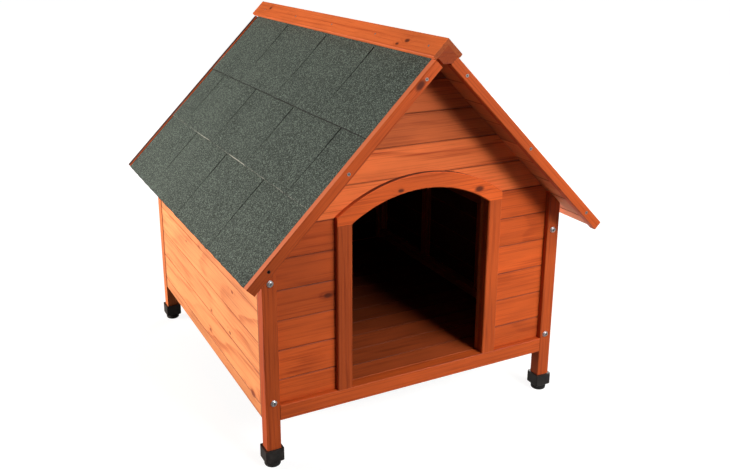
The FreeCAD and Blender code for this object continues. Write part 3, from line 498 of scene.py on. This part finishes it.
def mineralFinish(name, look):
    material, tree, shader, add = newMaterial(name)
    space = add("ShaderNodeTexCoord", out="Object")
    grains = add("ShaderNodeTexVoronoi", {"Vector": space, "Scale": 1 / look["grit"]}).node.outputs
    dice = add("ShaderNodeSeparateXYZ", {"Vector": grains["Color"]}).node.outputs
    pale = add("ShaderNodeMapRange", {"Value": dice[0], "From Min": 0.55, "From Max": 1.0},
               interpolation_type="SMOOTHSTEP")
    dark = add("ShaderNodeMapRange", {"Value": dice[1], "From Min": 0.6, "From Max": 1.0,
                                      "To Max": 0.85}, interpolation_type="SMOOTHSTEP")
    patch = add("ShaderNodeTexNoise", {"Vector": space, "Scale": 1 / look["patch"],
                                       "Detail": 4.0}, out="Fac")
    patch = add("ShaderNodeMapRange", {"Value": patch, "From Min": look["patchEdges"][0],
                                       "From Max": look["patchEdges"][1]})
    colour = add("ShaderNodeMix", {0: patch, 6: linear(look["ground"]), 7: linear(look["warm"])},
                 data_type="RGBA", out=2)
    colour = add("ShaderNodeMix", {0: dark, 6: colour, 7: linear(look["dark"])},
                 data_type="RGBA", out=2)
    colour = add("ShaderNodeMix", {0: pale, 6: colour, 7: linear(look["pale"])},
                 data_type="RGBA", out=2)
    tree.links.new(colour, shader.inputs["Base Color"])
    shader.inputs["Roughness"].default_value = 0.9
    bump = add("ShaderNodeBump", {"Height": grains["Distance"], "Strength": 0.6,
                                  "Distance": look["relief"]}, invert=True)
    tree.links.new(bump, shader.inputs["Normal"])
    return material


slateFelt = mineralFinish("mineralFelt", mineral)
# Along a strip's lower edge: on the middle strip a pale line, partly worn slate and partly painted
# highlight where the arris catches light; on the upper strip and along the eave a dark line,
# painted shadow of the strip's edge.
edgePatches = {**mineral, "patch": 0.10, "patchEdges": (0.46, 0.56)}
wornEdgeHighlight = mineralFinish("wornFeltEdgeHighlight", {**edgePatches, "ground": "#2F3833", "warm": "#B9BBAF",
                                          "pale": "#A3A89C"})
feltEdgeShadow = mineralFinish("paintedShadowFeltEdge", {**edgePatches, "ground": "#101412", "warm": "#060707",
                                          "pale": "#2A302C"})
# Where the sheet is cut the bitumen shows: black and a little shiny, with crumbs of slate.
cutBitumen = mouldedFinish("cutBitumenEdge", {"colour": "#0C0C0D", "worn": "#2C302C",
                                              "grit": 0.0012, "roughness": (0.3, 0.6),
                                              "relief": 0.0004})
underFelt = {**mineral, "ground": "#17181A", "pale": "#2A2C2E", "warm": "#1D1E1F",
             "dark": "#0E0F10"}
dress(mineralFinish("bitumenUnderlay", underFelt), "roof_underlay")
print("metal, plastic and felt finishes done")


# Strips of mineral felt cut into tabs, each lying on the one below with its end turned up
# over the lower strip. All lengths in metres; distances down the slope start at the ridge line.
shingles = {
    "apex": ridgeLine,
    "below": 0.0055,           # the felt's underside under the roof plane
    "skin": 0.0022,
    "lap": 0.040,              # length that lies flat on the strip below
    "ramp": 0.070,             # length over which a strip climbs on the one below
    "front": -0.5377,
    "back": 0.5377,
    "tab": 0.275,
    "slot": 0.0046,
    "mesh": 0.006,             # size of a grid cell
    "close": 0.8,              # how far a slot closes towards the lower edge
    "ragged": 0.0007,          # unevenness of the cut edges
    "stagger": 0.0009,         # how much the tabs differ in length
    "wave": 0.0003,            # unevenness of the sheet
    "lift": 0.0011,            # how far a tab's end may stand up
    "freeEnd": 0.05,           # length of tab that lifts
    "margin": 0.004,           # no slot is this near the roof's ends
    "tiny": 1e-6,
}
# Distances from the ridge line: to a strip's top and bottom, and to where its slots begin,
# covered by the strip or the cap above. The narrow last row of faces, the arris, takes the
# end's finish.
# the ends' finishes: a pale line of worn slate and painted highlight, or a dark line of painted
# shadow
courses = {
    "lower": {"top": 0.426, "bottom": 0.680, "covered": 0.456, "lapped": False, "step": 0.0,
              "lift": 0.25, "arris": 0.001, "end": feltEdgeShadow},
    "middle": {"top": 0.230, "bottom": 0.466, "covered": 0.260, "lapped": True, "step": 0.5,
               "lift": 1.0, "arris": 0.0016, "end": wornEdgeHighlight},
    "upper": {"top": 0.037, "bottom": 0.270, "covered": 0.046, "lapped": True, "step": 0.0,
              "lift": 1.0, "arris": 0.0022, "end": feltEdgeShadow},
}


def slabMesh(name, low, high, there):
    # closed slab over the cells of a grid: low and high are its two skins (rows, columns, 3),
    # there says which cells exist; a wall closes the slab wherever a cell has no neighbour;
    # walls take the second finish, those at the last row and the top faces there the third
    rows, columns = low.shape[:2]
    numbers = np.arange(rows * columns).reshape(rows, columns)
    a, b = numbers[:-1, :-1], numbers[:-1, 1:]      # the corners of each cell, in turn
    c, d = numbers[1:, 1:], numbers[1:, :-1]
    above = rows * columns                          # from a point of low to that of high
    faces = [np.stack([a, b, c, d], -1)[there] + above, np.stack([d, c, b, a], -1)[there]]
    wide = np.pad(there, 1)
    for near, start, end in ((wide[:-2, 1:-1], a, b), (wide[1:-1, 2:], b, c),
                             (wide[1:-1, :-2], d, a), (wide[2:, 1:-1], c, d)):
        unmet = there & ~near
        faces.append(np.stack([start, end, end + above, start + above], -1)[unmet])
    lastRow = len(faces[-1])
    faces = np.concatenate(faces)
    points = np.concatenate([low.reshape(-1, 3), high.reshape(-1, 3)])
    used, faces = np.unique(faces, return_inverse=True)
    faces = faces.reshape(-1, 4)
    mesh = bpy.data.meshes.new(name)
    mesh.from_pydata(points[used].tolist(), [], faces.tolist())
    finishes = (np.arange(len(faces)) >= 2 * there.sum()).astype(np.int32)
    finishes[len(faces) - lastRow:] = 2
    finishes[:there.sum()][np.nonzero(there)[0] == rows - 2] = 2
    mesh.polygons.foreach_set("material_index", finishes)
    return mesh


def smoothNoise(rng, count, every):
    # random values every few steps, joined by a cosine ramp, from -1 to 1
    values = rng.uniform(-1, 1, count // every + 3)
    steps = np.arange(count) / every
    whole = steps.astype(int)
    blend = (1 - np.cos((steps - whole) * np.pi)) / 2
    return values[whole] * (1 - blend) + values[whole + 1] * blend


def spaced(stops, size):
    # points from stop to stop, each stretch cut evenly into steps of about this size
    lines = [np.linspace(start, end, max(2, int(round((end - start) / size)) + 1))[:-1]
             for start, end in zip(stops[:-1], stops[1:])]
    return np.append(np.concatenate(lines), stops[-1])


def shingleStrip(name, side, course, seed):
    # the grid follows y across the roof and the distance from the ridge line down it; its
    # height over the roof plane is the felt's place, the climb on the strip below and the lift
    look, rng = shingles, np.random.default_rng(seed)
    half = look["slot"] / 2
    slots = np.arange(-3, 4) * look["tab"] + course["step"] * look["tab"]
    slots = slots[(slots > look["front"] + look["margin"])
                  & (slots < look["back"] - look["margin"])]
    stops = np.concatenate([[look["front"], look["back"]], slots - half, slots + half])
    across = spaced(np.sort(stops), look["mesh"])
    marks = [course["top"], course["covered"], course["bottom"] - course["arris"],
             course["bottom"]]
    if course["lapped"]:
        turnUp = course["bottom"] - look["lap"]
        marks += [turnUp - look["ramp"], turnUp]
    down = spaced(np.sort(marks), look["mesh"])
    middle = (across[:-1] + across[1:]) / 2
    inSlot = (np.abs(middle[:, None] - slots[None, :]) < half).any(1)
    there = ~(inSlot[None, :] & (down[:-1, None] > course["covered"] - look["tiny"]))
    rise = np.zeros(len(down))
    if course["lapped"]:
        rise = look["skin"] * np.clip((down - turnUp + look["ramp"]) / look["ramp"], 0, 1)
    acrossAt, downAt = np.meshgrid(across, down)
    # slots close towards the lower edge; cut edges wander, each tab's end on its own
    border = np.abs(across[:, None] - slots[None, :]).min(1) < half + look["tiny"]
    wander = smoothNoise(rng, len(down), 5) * look["ragged"]
    free = down > course["covered"]
    nearest = slots[np.abs(across[border][:, None] - slots[None, :]).argmin(1)]
    shut = look["close"] * np.clip((down[free] - course["covered"])
                                   / (course["bottom"] - course["covered"]), 0, 1)
    cut = np.ix_(free, border)
    acrossAt[cut] -= shut[:, None] * (across[border] - nearest)[None, :]
    acrossAt[cut] += (wander[free, None]
                      + rng.uniform(-0.3, 0.3, (free.sum(), border.sum())) * look["ragged"])
    tab = np.searchsorted(slots, across)
    tabLow = rng.uniform(0, 1, len(slots) + 2)[tab]
    ends = (-look["ragged"] * (1 + smoothNoise(rng, len(across), 3))
            - tabLow * look["stagger"])
    nearEnd = np.clip((down - course["bottom"] + look["freeEnd"]) / look["freeEnd"], 0, 1)
    downAt += nearEnd[:, None] * ends[None, :]
    # the sheet lies a little unevenly, and its free ends stand up
    wave = (smoothNoise(rng, len(across), 14)[None, :]
            * smoothNoise(rng, len(down), 9)[:, None])
    tabLift = (rng.uniform(0.15, 1, len(slots) + 2)[tab]
               * (0.6 + 0.4 * smoothNoise(rng, len(across), 9)))
    lifted = (look["wave"] * wave * nearEnd[:, None]
              + (nearEnd ** 2)[:, None] * tabLift[None, :] * look["lift"])
    lifted = np.clip(lifted * course["lift"], 0, None)
    depth = -look["below"] + rise[:, None] + lifted
    skins = []
    for over in (0.0, look["skin"]):
        height = depth + over
        skins.append(np.stack([side * (downAt + height) * diagonal, acrossAt,
                               look["apex"] + (height - downAt) * diagonal], -1))
    if side > 0:                # the mirrored side's grid is turned, so that faces point out
        skins = [skin[:, ::-1] for skin in skins]
        there = there[:, ::-1]
    mesh = slabMesh(name, *skins, there)
    piece = bpy.data.objects.new(name, mesh)
    bpy.context.scene.collection.objects.link(piece)
    for finish in (slateFelt, cutBitumen, course["end"]):
        mesh.materials.append(finish)
    return piece


for sideName, side in (("left", -1), ("right", 1)):
    for number, (courseName, course) in enumerate(courses.items()):
        ending = courseName + "_" + sideName
        name = "shingles_" + ending
        seed = 10 * side + 40 + number
        piece = shingleStrip("felt_" + ending, side, course, seed)
        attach(piece, "house")
        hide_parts(name)
print("shingles laid")


studio = {
    "floor": "#8C8B89",         # what the lamps find
    "floorReach": 30.0,
    "glow": (0.86, 1.0),        # what the camera finds besides, near the house and far off
    "glowReach": (0.7, 3.0),    # where near ends and far off begins
    "ambient": 0.05,            # what the white surroundings give the house
    "lamps": {
        # name: place, aim, size, spread in degrees, watts, colour
        "windowLeft": ((-3.5, 1.5, 1.0), (0, 0, 0.45), 2.0, 180, 230, "#FFF4EC"),
        "softboxFront": ((0.98, -3.75, 2.4), (0.42, -0.46, 0.34), 1.2, 44, 10.2, "#FFFFFF"),
        "softboxFill": ((2.3, -3.3, 3.0), (0.3, -0.46, 0.45), 1.3, 48, 6.0, "#FFFFFF"),
        "windowRight": ((3.2, 2.6, 1.7), (0.1, 0.1, 0.45), 2.4, 180, 130, "#FFF8F0"),
        "floorBounce": ((0.64, -0.3, 0.01), (0.52, -0.32, 0.5), 0.45, 70, 4.4, "#FFF2E6"),
    },
}


def layFloor(look):
    reach = look["floorReach"]
    mesh = bpy.data.meshes.new("floor")
    mesh.from_pydata([(-reach, -reach, 0), (reach, -reach, 0), (reach, reach, 0),
                      (-reach, reach, 0)], [], [(0, 1, 2, 3)])
    floor = bpy.data.objects.new("studioFloor", mesh)
    bpy.context.scene.collection.objects.link(floor)
    material, tree, shader, add = newMaterial("paperFloor")
    shader.inputs["Base Color"].default_value = linear(look["floor"])
    shader.inputs["Roughness"].default_value = 0.9
    shader.inputs["Specular IOR Level"].default_value = 0.1
    shader.inputs["Emission Color"].default_value = linear("#FFFFFF")
    space = add("ShaderNodeTexCoord", out="Object")
    away = add("ShaderNodeVectorMath", {0: space}, operation="LENGTH", out="Value")
    glow = add("ShaderNodeMapRange", {"Value": away, "From Min": look["glowReach"][0],
                                      "From Max": look["glowReach"][1],
                                      "To Min": look["glow"][0], "To Max": look["glow"][1]},
               interpolation_type="SMOOTHSTEP")
    seen = add("ShaderNodeLightPath", out="Is Camera Ray")
    glow = add("ShaderNodeMath", {0: glow, 1: seen}, operation="MULTIPLY")
    tree.links.new(glow, shader.inputs["Emission Strength"])
    mesh.materials.append(material)


def hangLamp(name, place, aim, size, spread, watts, colour):
    lamp = bpy.data.lights.new(name, "AREA")
    lamp.shape, lamp.size, lamp.spread = "SQUARE", size, np.radians(spread)
    lamp.energy, lamp.color = watts, linear(colour)[:3]
    holder = bpy.data.objects.new(name, lamp)
    bpy.context.scene.collection.objects.link(holder)
    holder.visible_camera = False
    facing = (Vector(aim) - Vector(place)).to_track_quat("-Z", "Y").to_matrix().to_4x4()
    holder.matrix_world = Matrix.Translation(place) @ facing


layFloor(studio)
for lampName, settings in studio["lamps"].items():
    hangLamp(lampName, *settings)
world = bpy.data.worlds.new("studio")
world.use_nodes = True
sky = world.node_tree.nodes["Background"]
sky.inputs["Color"].default_value = linear("#FFFFFF")
seen = addNode(world.node_tree, "ShaderNodeLightPath", out="Is Camera Ray")
seen = addNode(world.node_tree, "ShaderNodeMapRange", {"Value": seen, "To Min": studio["ambient"]})
world.node_tree.links.new(seen, sky.inputs["Strength"])
bpy.context.scene.world = world
bpy.context.scene.view_settings.view_transform = "Standard"

# the photograph's camera, worked out from the straight edges of the house
photo = {"place": (-1.0037, -2.0962, 1.2219), "yaw": 0.4558, "pitch": 0.2994, "roll": -0.0043,
         "focal": 842.17, "centre": (345, 190), "width": 730, "height": 470}


def setCamera(view):
    yaw, pitch, roll = view["yaw"], view["pitch"], view["roll"]
    ahead = Vector((np.sin(yaw) * np.cos(pitch), np.cos(yaw) * np.cos(pitch), -np.sin(pitch)))
    right = Vector((np.cos(yaw), -np.sin(yaw), 0))
    up = right.cross(ahead)
    turnedRight = right * np.cos(roll) + up * np.sin(roll)
    turnedUp = up * np.cos(roll) - right * np.sin(roll)
    data = bpy.data.cameras.new("photoCamera")
    data.sensor_width = 36.0
    data.lens = view["focal"] / view["width"] * data.sensor_width
    data.shift_x = (view["width"] / 2 - view["centre"][0]) / view["width"]
    data.shift_y = (view["centre"][1] - view["height"] / 2) / view["width"]
    camera = bpy.data.objects.new("photoCamera", data)
    bpy.context.scene.collection.objects.link(camera)
    turn = Matrix((turnedRight, turnedUp, -ahead)).transposed().to_4x4()
    camera.matrix_world = Matrix.Translation(view["place"]) @ turn
    bpy.context.scene.camera = camera


setCamera(photo)
print("stage, lamps and camera set")
